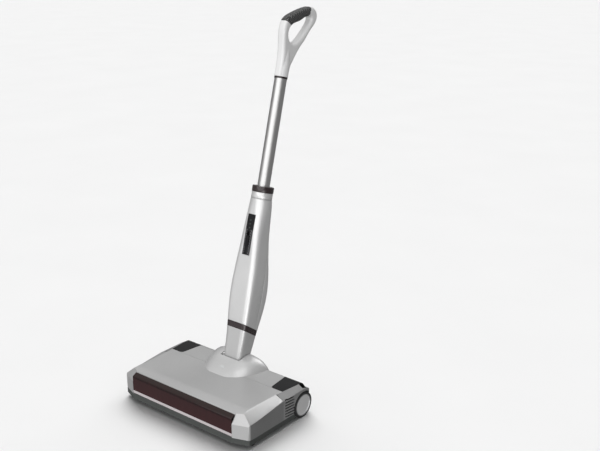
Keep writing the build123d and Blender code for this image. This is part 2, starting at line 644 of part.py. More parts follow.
def drive_belt():
    """Endless belt round both pulleys, a hair clear of them."""
    big = BRUSH_PULLEY_RADIUS - PULLEY_FLANGE + BELT_GAP
    small = MOTOR_PULLEY_RADIUS - PULLEY_FLANGE + BELT_GAP
    outer = belt_outline(big + BELT_THICKNESS, small + BELT_THICKNESS)
    return prism_x(outer - belt_outline(big, small), between_lips(1.4))


def belt_outline(big, small):
    """The area inside a belt run round two circles, from the side."""
    run = hypot(MOTOR_Y - BRUSH_Y, MOTOR_Z - BRUSH_Z)
    slope = atan2(MOTOR_Z - BRUSH_Z, MOTOR_Y - BRUSH_Y)
    lean = (big - small) / run
    points = []
    for side in (1, -1):
        angle = slope + side * (radians(90) - lean)
        points.append((BRUSH_Y + big * cos(angle), BRUSH_Z + big * sin(angle)))
        points.append((MOTOR_Y + small * cos(angle), MOTOR_Z + small * sin(angle)))
    quad = polygon(points[0], points[1], points[3], points[2])
    return quad + Pos(BRUSH_Y, BRUSH_Z) * Circle(big) + Pos(MOTOR_Y, MOTOR_Z) * Circle(small)


# ---- dust bin ----
def dust_bin():
    """Open tray with a low front ramp and a door that closes the head's curved back."""
    width = (-BIN_HALF, BIN_HALF)
    inner_width = (BIN_WALL - BIN_HALF, BIN_HALF - BIN_WALL)
    tray = block(width, (BIN_FRONT_Y, BIN_REAR_Y), (BIN_FLOOR_Z, BIN_CEILING_Z - 2))
    tray -= block(inner_width, (BIN_FRONT_Y + BIN_WALL, BIN_REAR_Y - BIN_WALL), (BIN_FLOOR_Z + BIN_WALL, FAR))
    tray -= block(inner_width, (0, BIN_FRONT_Y + BIN_WALL + 1), (BIN_FLOOR_Z + BIN_RAMP_HEIGHT, FAR))
    door = HEAD_SHELL & block(width, (BIN_DOOR_Y, FAR), (BIN_FLOOR_Z, REAR_WALL_TOP_Z - SEAM))
    joint = block(width, (BIN_REAR_Y - BIN_WALL, REAR_LOW[0]), (BIN_FLOOR_Z, BIN_CEILING_Z - 8))
    radius, half = BIN_GRIP
    groove = rod_x(radius, (-half, half), REAR_LOW[0] + radius / 2, 28)
    return tray + door + (joint & HEAD_SOLID) - groove


def bin_filter():
    """Pleated foam pad at the back of the bin."""
    back = BIN_REAR_Y - BIN_WALL
    return block((-FILTER_HALF, FILTER_HALF), (back - FILTER_THICKNESS, back),
                 (BIN_FLOOR_Z + BIN_WALL, BIN_CEILING_Z - 4))


def lip_seal():
    """Rubber lip behind the brush opening."""
    y = BRUSH_OPENING_Y[1] + 1
    return block((-BEARING_X[0] + 4, BEARING_X[0] - 4), (y, y + 2), (3.0, SKIRT_Z))


# ---- tilt joint ----
def pivot_pin():
    half = NECK_SLOT_HALF + 1 + BRACKET_THICKNESS
    return rod_x(PIVOT_PIN_RADIUS, (-half, half), PIVOT_Y, PIVOT_Z)


def detent_spring():
    """Flat spring under the neck's barrel that holds the handle parked."""
    top = PIVOT_Z - BARREL_RADIUS - 1.0
    blade = block((-8, 8), (PIVOT_Y - 12, PIVOT_Y + 12), (top - SPRING_THICKNESS, top))
    return blade + block((-8, 8), (PIVOT_Y - 12, PIVOT_Y - 9), (REAR_WALL_TOP_Z, top))


# ---- handle body ----
def body_form(inset=0.0):
    """The handle body as one solid, upright, shrunk by inset."""
    faces = []
    for along, half, front, back, corner in BODY_SECTIONS:
        width, depth = 2 * (half - inset), front + back - 2 * inset
        radius = min(corner - inset, width / 2 - 0.4, depth / 2 - 0.4)
        faces.append(Pos(0, (back - front) / 2, along) * RectangleRounded(width, depth, radius))
    return loft(faces)


BODY_SOLID = body_form()
BODY_INSIDE = body_form(WALL)


def slanted_slab(low, high):
    """The space between two planes parallel to the dark band."""
    middle = (low + high) / 2
    return Pos(0, 0, BAND_ALONG) * Rot(-BAND_SLANT, 0, 0) * Pos(0, 0, middle) * Box(900, 900, high - low)


def neck_shell():
    """Lower shell of the handle, with the tilt barrel at its foot."""
    neck = (BODY_SOLID - BODY_INSIDE) & slanted_slab(-150, -BAND_HEIGHT / 2)
    foot_along = BODY_SECTIONS[0][0]
    half, front, back = BODY_SECTIONS[0][1:4]
    foot = make_face(
        Line((-BARREL_RADIUS, 0), (-front, foot_along)) + Line((-front, foot_along), (back, foot_along))
        + Line((back, foot_along), (BARREL_RADIUS, 0))
        + ThreePointArc((BARREL_RADIUS, 0), (0, -BARREL_RADIUS), (-BARREL_RADIUS, 0)))
    foot = prism_x(foot, (-half + 0.5, half - 0.5))
    foot += Pos(0, (back - front) / 2, foot_along + 1.5) * extrude(
        RectangleRounded(2 * half - 1, front + back - 1, BODY_SECTIONS[0][4] - 0.5), 3)
    foot -= Cylinder(6.0, 200)
    foot += Rot(0, 90, 0) * Cylinder(BARREL_RADIUS, 2 * half - 1)
    foot += neck_shield()
    return neck + foot - Rot(0, 90, 0) * Cylinder(PIVOT_PIN_RADIUS + RUNNING_FIT, 100)


def neck_shield():
    """Curved wall round the tilt axis that keeps the neck's slot shut, drawn upright."""
    low, high = (angle - HANDLE_LEAN for angle in SHIELD_REACH)
    reach = 2 * SHIELD_RADIUS
    middle = (low + high) / 2
    fan = polygon((0, 0), *(
        (reach * sin(radians(angle)), reach * cos(radians(angle))) for angle in (low, middle, high)))
    arc = Circle(SHIELD_RADIUS) - Circle(SHIELD_RADIUS - SHIELD_WALL)
    half = NECK_SLOT_HALF - MOVING_GAP
    shield = prism_x(arc & fan, (-half, half))
    return shield - body_form(SHIELD_WALL / 2)


def neck_band():
    return (BODY_SOLID - body_form(2 * WALL)) & slanted_slab(-BAND_HEIGHT / 2 + SEAM, BAND_HEIGHT / 2 - SEAM)


def panel_block(gap=0.0):
    low, high = PANEL_ALONG
    half = PANEL_HALF + gap
    return block((-half, half), (-60, -10), (low - gap, high + gap))


def body_upper():
    """The body's shell above the band, with both halves still joined."""
    shell = (BODY_SOLID - BODY_INSIDE) & slanted_slab(BAND_HEIGHT / 2, 400)
    return shell - panel_block(SEAM)


def body_front_shell():
    return body_upper() & block(ALL, (-FAR, SHELL_SPLIT), ALL)


def body_rear_shell():
    rear = body_upper() & block(ALL, (SHELL_SPLIT + SEAM, FAR), ALL)
    for x, along, _ in SCREW_PLACES:
        rear -= rod_y(SCREW_HOLE_RADIUS, x, (0, FAR), along)
    return rear - rod_y(SOCKET_RADIUS, 0, (0, FAR), SOCKET_ALONG)


def body_screws():
    """Screws that hold the rear body shell, each with a socket in its head."""
    screws = []
    for x, along, depth in SCREW_PLACES:
        head = rod_y(2.8, x, (depth, depth + 2.4), along) - rod_y(1.2, x, (depth + 1.5, depth + 2.4), along)
        screws.append(head + rod_y(1.5, x, (depth - 8, depth), along))
    return Compound(screws)


def charge_socket():
    """Barrel in the back of the body that the charger's plug goes into."""
    mouth = SOCKET_DEPTH[1]
    span = (mouth - JACK_DEPTH, mouth)
    return rod_y(SOCKET_RADIUS, 0, span, SOCKET_ALONG) - rod_y(JACK_RADIUS, 0, span, SOCKET_ALONG)


def socket_base():
    """Plate that closes the charging socket's inner end."""
    return rod_y(SOCKET_RADIUS, 0, (SOCKET_DEPTH[0], SOCKET_DEPTH[1] - JACK_DEPTH), SOCKET_ALONG)


def switch_panel():
    """Black panel with the slot for the slide switch."""
    panel = (body_form(-0.6) - BODY_INSIDE) & panel_block()
    half_width, half_length = (half + MOVING_GAP for half in SWITCH_HALF)
    slot = block((-half_width, half_width), (-FAR, 0),
                 (SWITCH_ALONG - half_length, SWITCH_ALONG + half_length + SWITCH_TRAVEL))
    return panel - slot - status_lens_form(0.2)


def status_lens_form(gap=0.0):
    """Three small lenses in a column near the panel's top."""
    lenses = [rod_y(LENS_RADIUS + gap, 0, (-FAR, -TUBE_RADIUS), along) for along in LENS_ALONG]
    return lenses[0] + lenses[1] + lenses[2]


def status_lenses():
    return Compound((status_lens_form() & (body_form(-0.9) - BODY_INSIDE)).solids())


def slide_switch():
    """Thumb piece of the power switch, with grooves across it."""
    half_width, half_length = SWITCH_HALF
    front, back = SWITCH_DEPTH
    thumb = block((-half_width, half_width), (front, back),
                  (SWITCH_ALONG - half_length, SWITCH_ALONG + half_length))
    for rib in range(RIB_COUNT):
        middle = SWITCH_ALONG + RIB_PITCH * (rib - (RIB_COUNT - 1) / 2)
        thumb -= block(ALL, (-FAR, front + RIB_DEPTH), (middle - RIB_DEPTH, middle + RIB_DEPTH))
    return thumb


def tube_guide():
    """Inner sleeve that the telescopic tube slides in."""
    return ring_z(*GUIDE_RADII, (GUIDE_BOTTOM, COLLAR_TOP - COLLAR_RING_HEIGHT))


def battery_cells():
    """Two by two pack behind the tube guide."""
    cells = []
    for side in (-1, 1):
        for low in (CELL_LOW, CELL_LOW + CELL_LENGTH + CELL_GAP):
            place = Pos(side * (CELL_RADIUS + CELL_GAP / 2), CELL_BEHIND, low + CELL_LENGTH / 2)
            cells.append(place * Cylinder(CELL_RADIUS, CELL_LENGTH))
    return Compound(cells)


def control_board():
    behind = SHELL_SPLIT + 1.0
    return block((-BOARD_HALF, BOARD_HALF), (behind, behind + BOARD_THICKNESS), BOARD_ALONG)


def collar_sleeve():
    """Silver sleeve under the dark ring, with a fine groove round it."""
    low = BODY_SECTIONS[-1][0]
    sleeve = ring_z(COLLAR_RADIUS, TUBE_RADIUS + 2.8, (low + SEAM, COLLAR_TOP - COLLAR_RING_HEIGHT - SEAM))
    return sleeve - ring_z(COLLAR_RADIUS + 1, COLLAR_RADIUS - 0.5, (low + 1.5, low + 2.3))


def collar_ring():
    """Dark ring that the tube slides through."""
    span = (COLLAR_TOP - COLLAR_RING_HEIGHT, COLLAR_TOP)
    return ring_z(COLLAR_RADIUS + 0.6, TUBE_RADIUS + RUNNING_FIT, span)


# ---- telescopic tube and grip ----
def inner_tube():
    return ring_z(TUBE_RADIUS, TUBE_RADIUS - TUBE_WALL, (TUBE_BOTTOM, TUBE_TOP + TUBE_PLUG))


def tube_end_bush():
    """Plastic bush in the tube's lower end."""
    bush = Pos(0, 0, TUBE_BOTTOM + 4) * Cylinder(TUBE_RADIUS - TUBE_WALL, 12)
    bush += Pos(0, 0, TUBE_BOTTOM - 1.5) * Cylinder(TUBE_RADIUS, 3)
    return bush - Pos(0, 0, TUBE_BOTTOM) * Cylinder(4, 40)


def grip_ring():
    """Thin dark ring between the tube and the grip."""
    return ring_z(TUBE_RADIUS + 0.7, TUBE_RADIUS, (TUBE_TOP, TUBE_TOP + GRIP_RING_HEIGHT))


def grip_outline():
    """Side view of the grip's loop: an outer line and the finger hole, as (behind, along)."""
    base = TUBE_TOP + GRIP_RING_HEIGHT
    front = Spline(
        (-TUBE_RADIUS - 1, base), (-16.5, 671), (-23.0, 705), (-18.0, 733), (0, 747.5), (38, 767),
        (62, 771), (76, 759), (75.5, 746), (62, 724), (48, 700), (34, 680), (21, 654),
        (TUBE_RADIUS + 1, base), tangents=[(0, 1), (0, -1)])
    outer = make_face(front + Line((TUBE_RADIUS + 1, base), (-TUBE_RADIUS - 1, base)))
    hole = make_face(Spline(
        (6, 688.5), (-4, 697), (-6.5, 710), (0, 723), (26, 738), (47, 750.5), (56.5, 750), (53, 735),
        (38, 712), (20, 692), periodic=True))
    return outer - hole


def pad_region(gap=0.0):
    """Side view of the part of the grip that the soft black pad covers."""
    return polygon((-23 - gap, 730 - gap), (-2, 721.5 - gap), (12, 724), (44 + gap, 742), (50 + gap, 757),
                   (51 + gap, 780), (20, 785), (-40, 760))


def grip_form():
    half = GRIP_HALF_THICKNESS
    loop = Pos(-half, 0, 0) * extrude(Plane.YZ * grip_outline(), 2 * half)
    rims = loop.edges().filter_by(lambda edge: abs(abs(edge.center().X) - half) < 0.01)
    rims = rims.filter_by(lambda edge: edge.center().Z > TUBE_TOP + GRIP_RING_HEIGHT + 1)
    return fillet(rims, GRIP_ROUNDING)


GRIP_SOLID = grip_form()


def grip_handle():
    """Silver grip with a socket over the tube's upper end."""
    base = TUBE_TOP + GRIP_RING_HEIGHT
    grip = GRIP_SOLID - prism_x(pad_region(SEAM), ALL)
    cuff = Pos(0, 0, base + CUFF_LENGTH / 2) * Cylinder(TUBE_RADIUS + 1, CUFF_LENGTH)
    blend = Cone(TUBE_RADIUS + 1, TUBE_RADIUS - 4, CUFF_BLEND)
    blend = Pos(0, 0, base + CUFF_LENGTH + CUFF_BLEND / 2) * blend
    socket = Pos(0, 0, TUBE_TOP) * Cylinder(TUBE_RADIUS, 2 * TUBE_PLUG)
    return grip + cuff + blend - socket


def grip_pad():
    """Soft black pad round the top of the loop."""
    return GRIP_SOLID & prism_x(pad_region(), ALL)


# ---- fasteners of the head ----
def case_screws():
    """Screws that hold the chassis to the covers, seen from below."""
    screws = []
    for x in CASE_SCREW_X:
        screw = Pos(x, CASE_SCREW_Y, SKIRT_Z + 5.6) * Cylinder(1.6, 10)
        screws.append(screw + Pos(x, CASE_SCREW_Y, SKIRT_Z + 0.9) * Cylinder(3.2, 1.8))
    return Compound(screws)


def lean(shape):
    """A handle piece moved from its upright drawing to its parked place."""
    return HANDLE_PLACE * shape


os.makedirs("parts", exist_ok=True)

MIRRORED_PIECES = {
    "side_panel": side_panel(),
    "corner_cap": corner_cap(),
    "wheel_tyre": tyre(),
    "wheel_hub": hub(),
    "wheel_ring": hub_ring(),
    "front_roller": front_roller(),
}

HEAD_PIECES = {
    "chassis": chassis() - case_screws(),
    "top_cover": top_cover(),
    "rear_deck": rear_deck(),
    "front_window": front_window(),
    "window_trim": window_trim(),
    "handle_saddle": handle_saddle() - saddle_lens(),
    "saddle_lens": saddle_lens(),
    "lip_seal": lip_seal(),
    "case_screws": case_screws(),
    "wheel_axles": wheel_axles(),
    "front_roller_pins": front_roller_pins(),
    "brush_shaft": brush_shaft(),
    "brush_core": brush_core(),
    "bristle_strips": bristle_strips(),
    "brush_pulley": pulley(BRUSH_PULLEY_RADIUS, BRUSH_SHAFT_RADIUS, BRUSH_Y, BRUSH_Z),
    "brush_bearings": brush_bearings(),
    "motor_housing": motor_housing(),
    "motor_shaft": motor_shaft(),
    "motor_armature": motor_armature(),
    "motor_pulley": pulley(MOTOR_PULLEY_RADIUS, MOTOR_SHAFT_RADIUS, MOTOR_Y, MOTOR_Z),
    "drive_belt": drive_belt(),
    "dust_bin": dust_bin(),
    "bin_filter": bin_filter(),
    "pivot_pin": pivot_pin(),
    "detent_spring": detent_spring(),
}

HANDLE_PIECES = {
    "neck_shell": neck_shell(),
    "neck_band": neck_band(),
    "body_front_shell": body_front_shell(),
    "body_rear_shell": body_rear_shell(),
    "body_screws": body_screws(),
    "charge_socket": charge_socket(),
    "socket_base": socket_base(),
    "switch_panel": switch_panel(),
    "status_lenses": status_lenses(),
    "slide_switch": slide_switch(),
    "tube_guide": tube_guide(),
    "battery_cells": battery_cells(),
    "control_board": control_board(),
    "collar_sleeve": collar_sleeve(),
    "collar_ring": collar_ring(),
    "inner_tube": inner_tube(),
    "tube_end_bush": tube_end_bush(),
    "grip_ring": grip_ring(),
    "grip_handle": grip_handle(),
    "grip_pad": grip_pad(),
}

for node, piece in MIRRORED_PIECES.items():
    save(f"{node}_right", piece)
    save(f"{node}_left", left_of(piece))
for node, piece in HEAD_PIECES.items():
    save(node, piece)
for node, piece in HANDLE_PIECES.items():
    save(node, lean(piece))
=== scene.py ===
"""Looks of a cordless carpet sweeper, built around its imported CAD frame. Metres and degrees."""

import json
import math

import bmesh
import bpy
import numpy as np
from mathutils import Matrix, Vector


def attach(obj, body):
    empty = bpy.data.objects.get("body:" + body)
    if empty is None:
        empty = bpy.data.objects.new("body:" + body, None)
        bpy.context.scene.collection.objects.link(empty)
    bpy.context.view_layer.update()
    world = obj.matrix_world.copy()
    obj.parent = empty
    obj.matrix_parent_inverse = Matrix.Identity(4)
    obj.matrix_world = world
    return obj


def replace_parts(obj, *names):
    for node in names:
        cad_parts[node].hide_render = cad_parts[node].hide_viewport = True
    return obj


# ---- camera ----
CAMERA_PLACE = (1.1752, -1.2953, 0.9171)
CAMERA_DIRECTION = (-0.5973, 0.7429, -0.3024)
CAMERA_LENS = 53.4
SENSOR_WIDTH = 36.0

# ---- floor and light ----
FLOOR_HALF = 60.0
FLOOR_TONES = (0.815, 0.83)
AMBIENT = 0.25
GLOWS = (                               # direction, how tight it is, strength
    ((-0.40, 0.30, 0.87), 8.0, 0.90),
    ((0.05, 0.74, 0.67), 25.0, 3.5),
    ((-0.20, -0.93, -0.30), 4.0, 0.65),
    ((0.68, -0.68, -0.25), 30.0, 5.0))
FLOOR_SUN = {"azimuth": 225.0, "elevation": 50.0, "strength": 2.1, "angle": 40.0, "lights_floor": True}
KEY_SUN = {"azimuth": 12.0, "elevation": 40.0, "strength": 2.1, "angle": 85.0, "lights_floor": False}

# ---- details of the pieces ----
LEAN = math.radians(15.0)
PIVOT = (0.0, -0.05545, 0.060)          # the tilt pin, where the handle's own space starts
WINDOW_Z = (0.029, 0.066)               # lower and upper edge of the front window
VENT_PART_Y = (-0.1040, -0.1005)        # where the side panel turns from its dark to its light part
EDGE_WIDTH, EDGE_ANGLE, WELD_REACH = 0.0005, math.radians(30.0), 0.00002
SOFTENED = (
    "top_cover", "rear_deck", "side_panel_right", "side_panel_left", "corner_cap_right", "corner_cap_left",
    "front_window", "window_trim", "neck_band", "body_front_shell", "body_rear_shell", "switch_panel",
    "slide_switch", "dust_bin", "wheel_hub_right", "wheel_hub_left", "wheel_tyre_right", "wheel_tyre_left",
    "collar_ring", "collar_sleeve")
HATCH_PITCH, HATCH_DEPTH, HATCH_CELL = 0.0052, 0.00055, 0.0008
HATCH_WAYS = ((0.7, 0.0, 1.0), (-0.7, 1.0, 0.0))   # directions of the two waves that cross on the pad
PANEL_FACE_Y = -0.0231
PANEL_RIB_SIZE = (0.0056, 0.0010, 0.0020)
PANEL_RIB_X, PANEL_RIB_LOW, PANEL_RIB_PITCH, PANEL_RIB_COUNT = 0.0068, 0.2500, 0.0052, 10
PANEL_RIB_TILT = math.radians(40.0)
BRUSH_AXIS = (-0.18045, 0.0275)         # Y and Z
BRUSH_HALF, BRUSH_TWIST, BRUSH_ROWS = 0.131, math.radians(150.0), 4
TUFT_STEP, FIBRES, FIBRE_RADIUS = 0.0034, 9, 0.00022
TUFT_REACH, TUFT_BEND = (0.0105, 0.0250), (0.35, 1.0)   # radius and share of the bend at root and tip
FIBRE_SPREAD_X, FIBRE_SPREAD_TURN = 0.0009, 0.035

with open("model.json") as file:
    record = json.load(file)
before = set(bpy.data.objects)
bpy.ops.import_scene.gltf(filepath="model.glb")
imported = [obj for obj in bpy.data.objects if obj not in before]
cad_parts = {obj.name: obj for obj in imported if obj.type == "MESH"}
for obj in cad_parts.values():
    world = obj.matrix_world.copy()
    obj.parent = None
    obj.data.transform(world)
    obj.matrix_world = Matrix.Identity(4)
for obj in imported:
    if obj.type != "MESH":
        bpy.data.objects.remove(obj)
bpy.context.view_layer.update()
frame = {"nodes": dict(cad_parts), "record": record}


# ---- node helpers ----
def new_material(name):
    """An empty material, its node tree and its shader."""
    material = bpy.data.materials.new(name)
    material.use_nodes = True
    tree = material.node_tree
    return material, tree, tree.nodes["Principled BSDF"]


def set_shader(shader, **values):
    """Sets the shader's own sockets; a word's underscores stand for spaces."""
    for word, value in values.items():
        shader.inputs[word.replace("_", " ")].default_value = value


def link(tree, output, shader, socket):
    """Joins another node's output to one of the shader's sockets."""
    tree.links.new(output, shader.inputs[socket])


def object_place(tree):
    """The point's place in the object."""
    return tree.nodes.new("ShaderNodeTexCoord").outputs["Object"]


def mapped(tree, vector, scale=(1, 1, 1), rotation=(0, 0, 0)):
    """The place stretched along each axis, or turned, or stretched and then turned."""
    node = tree.nodes.new("ShaderNodeMapping")
    node.vector_type = "POINT"
    node.inputs["Scale"].default_value = scale
    node.inputs["Rotation"].default_value = rotation
    tree.links.new(vector, node.inputs["Vector"])
    return node.outputs["Vector"]


def noise(tree, vector, scale, detail=4.0):
    """Grey noise with about so many waves a metre."""
    node = tree.nodes.new("ShaderNodeTexNoise")
    node.inputs["Scale"].default_value = scale
    node.inputs["Detail"].default_value = detail
    tree.links.new(vector, node.inputs["Vector"])
    return node.outputs["Fac"]


def grey(value):
    """A colour from a grey level, or the colour itself."""
    return tuple(value) if hasattr(value, "__len__") else (value, value, value)


def ramp(tree, value, *stops):
    """Colours along a value: each stop is its place and its colour or grey level."""
    node = tree.nodes.new("ShaderNodeValToRGB")
    elements = node.color_ramp.elements
    while len(elements) < len(stops):
        elements.new(0.5)
    for element, (place, colour) in zip(elements, stops):
        element.position = place
        element.color = (*grey(colour), 1.0)
    tree.links.new(value, node.inputs["Fac"])
    return node.outputs["Color"]


def axis_of(tree, vector, axis, low, high):
    """How far a point is from low to high along one axis, from 0 to 1."""
    split = tree.nodes.new("ShaderNodeSeparateXYZ")
    tree.links.new(vector, split.inputs["Vector"])
    node = tree.nodes.new("ShaderNodeMapRange")
    node.inputs["From Min"].default_value = low
    node.inputs["From Max"].default_value = high
    tree.links.new(split.outputs[axis], node.inputs["Value"])
    return node.outputs["Result"]


def feed(tree, socket, value):
    """Gives a socket another node's output, a number or a colour."""
    if hasattr(value, "is_linked"):
        tree.links.new(value, socket)
    elif socket.type == "RGBA":
        socket.default_value = (*grey(value), 1.0)
    else:
        socket.default_value = value


def mix(tree, share, first, second):
    """Two colours mixed by a share."""
    node = tree.nodes.new("ShaderNodeMix")
    node.data_type = "RGBA"
    feed(tree, node.inputs["Factor"], share)
    colours = [socket for socket in node.inputs if socket.type == "RGBA"]
    for socket, colour in zip(colours, (first, second)):
        feed(tree, socket, colour)
    return next(socket for socket in node.outputs if socket.type == "RGBA")


def math_node(tree, operation, first, second):
    """One operation on two values, each a socket or a number."""
    node = tree.nodes.new("ShaderNodeMath")
    node.operation = operation
    for socket, value in zip(node.inputs, (first, second)):
        feed(tree, socket, value)
    return node.outputs["Value"]


def dot_product(tree, vector, direction):
    """How far a vector reaches along a direction."""
    node = tree.nodes.new("ShaderNodeVectorMath")
    node.operation = "DOT_PRODUCT"
    node.inputs[1].default_value = direction
    tree.links.new(vector, node.inputs[0])
    return node.outputs["Value"]


def hatch_height(tree, place):
    """Two crossed waves multiplied, the height of a criss-cross pattern, from -1 to 1."""
    turns = [dot_product(tree, place, Vector(way) * math.tau / HATCH_PITCH) for way in HATCH_WAYS]
    return math_node(tree, "MULTIPLY", *(math_node(tree, "SINE", turn, 0.0) for turn in turns))


def bump(tree, height, distance):
    """A normal from a height."""
    node = tree.nodes.new("ShaderNodeBump")
    node.inputs["Distance"].default_value = distance
    tree.links.new(height, node.inputs["Height"])
    return node.outputs["Normal"]


# ---- materials ----
def moulded(name, low, high, roughness, grain, grain_depth, **values):
    """Moulded plastic: two near tones, a fine grain and a roughness that varies a little."""
    material, tree, shader = new_material(name)
    place = object_place(tree)
    tone = noise(tree, place, 14.0)
    colour = ramp(tree, tone, (0.35, low), (0.65, high))
    scuffs = noise(tree, mapped(tree, place, (1.0, 6.0, 1.0)), 120.0, 6.0)
    fine = noise(tree, place, grain, 3.0)
    link(tree, colour, shader, "Base Color")
    rough = mix(tree, 0.25, ramp(tree, fine, (0.3, roughness - 0.03), (0.7, roughness + 0.03)),
                ramp(tree, scuffs, (0.4, roughness - 0.06), (0.62, roughness + 0.10)))
    link(tree, rough, shader, "Roughness")
    link(tree, bump(tree, fine, grain_depth), shader, "Normal")
    set_shader(shader, **values)
    return material


def metallic_paint(name, level, roughness):
    """Satin silver paint of one grey level: fine bright flakes under a thin clear coat."""
    material, tree, shader = new_material(name)
    place = object_place(tree)
    flakes = noise(tree, place, 2600.0, 2.0)
    cloud = noise(tree, place, 9.0, 3.0)
    base = ramp(tree, cloud, (0.35, 0.97 * level), (0.65, 1.03 * level))
    flake_share = ramp(tree, flakes, (0.60, 0.0), (0.72, 0.7))
    link(tree, mix(tree, flake_share, base, min(1.0, 1.28 * level)), shader, "Base Color")
    link(tree, ramp(tree, flakes, (0.3, roughness + 0.05), (0.75, roughness - 0.06)), shader, "Roughness")
    peel = noise(tree, place, 340.0, 2.0)
    link(tree, bump(tree, peel, 0.00002), shader, "Normal")
    set_shader(shader, Metallic=0.45, Coat_Weight=0.35, Coat_Roughness=0.25)
    return material


def side_plastic():
    """Grey side panel: a darker front part and a lighter part round the vents."""
    material, tree, shader = new_material("side_moulding")
    place = object_place(tree)
    grain = noise(tree, place, 1500.0, 3.0)
    along = axis_of(tree, place, "Y", *VENT_PART_Y)
    dark = ramp(tree, noise(tree, place, 16.0), (0.35, 0.15), (0.65, 0.17))
    light = ramp(tree, noise(tree, place, 16.0), (0.35, 0.20), (0.65, 0.22))
    link(tree, mix(tree, along, dark, light), shader, "Base Color")
    link(tree, ramp(tree, grain, (0.3, 0.40), (0.7, 0.48)), shader, "Roughness")
    link(tree, bump(tree, grain, 0.00006), shader, "Normal")
    return material


def tinted_window():
    """Deep red glossy window with faint vertical streaks; the dark line at its crease is painted shade, and
    the greyer band above it is a painted reflection of the bright sky where the window curves over to the
    top.
    """
    material, tree, shader = new_material("tinted_window")
    place = object_place(tree)
    height = axis_of(tree, place, "Z", *WINDOW_Z)
    # painted light: the near-black stop is painted shade in the crease, and the greyer stops above it are a
    # painted sky reflection
    tone = ramp(tree, height, (0.0, (0.034, 0.010, 0.011)), (0.70, (0.030, 0.010, 0.011)),
                (0.80, (0.010, 0.001, 0.002)), (0.86, (0.028, 0.020, 0.019)), (1.0, (0.032, 0.024, 0.022)))
    streaks = noise(tree, mapped(tree, place, (1.0, 1.0, 0.08)), 160.0, 3.0)
    streak_share = ramp(tree, streaks, (0.4, 0.0), (0.7, 0.25))
    link(tree, mix(tree, streak_share, tone, (0.045, 0.014, 0.015)), shader, "Base Color")
    link(tree, ramp(tree, streaks, (0.3, 0.10), (0.7, 0.17)), shader, "Roughness")
    set_shader(shader, Specular_IOR_Level=0.15, Coat_Weight=0.05, Coat_Roughness=0.06)
    return material


def hatched_rubber():
    """Dark rubber with painted light on its criss-cross: the raised diamonds are painted lighter as painted
    highlights and the grooves darker as painted shade, faded in random patches.
    """
    material, tree, shader = new_material("hatched_rubber")
    place = object_place(tree)
    patch_noise = noise(tree, place, 220.0, 3.0)
    # painted highlight on the diamonds' tops and painted shade in the grooves between them
    tops = ramp(tree, hatch_height(tree, place), (0.0, 0.010), (0.15, 0.030), (0.45, 0.24))
    link(tree, mix(tree, ramp(tree, patch_noise, (0.35, 0.0), (0.70, 0.5)), tops, 0.025), shader, "Base Color")
    link(tree, ramp(tree, patch_noise, (0.3, 0.50), (0.7, 0.62)), shader, "Roughness")
    link(tree, bump(tree, noise(tree, place, 1500.0), 0.0001), shader, "Normal")
    return material


def brushed_metal(name, low, high, roughness, rotation=(0, 0, 0), streak=(1.0, 1.0, 0.02)):
    """Metal brushed along the stretched axis."""
    material, tree, shader = new_material(name)
    place = mapped(tree, mapped(tree, object_place(tree), rotation=rotation), scale=streak)
    lines = noise(tree, place, 1400.0, 4.0)
    link(tree, ramp(tree, lines, (0.3, low), (0.7, high)), shader, "Base Color")
    link(tree, ramp(tree, lines, (0.3, roughness - 0.05), (0.7, roughness + 0.07)), shader, "Roughness")
    link(tree, bump(tree, lines, 0.00001), shader, "Normal")
    set_shader(shader, Metallic=1.0)
    return material


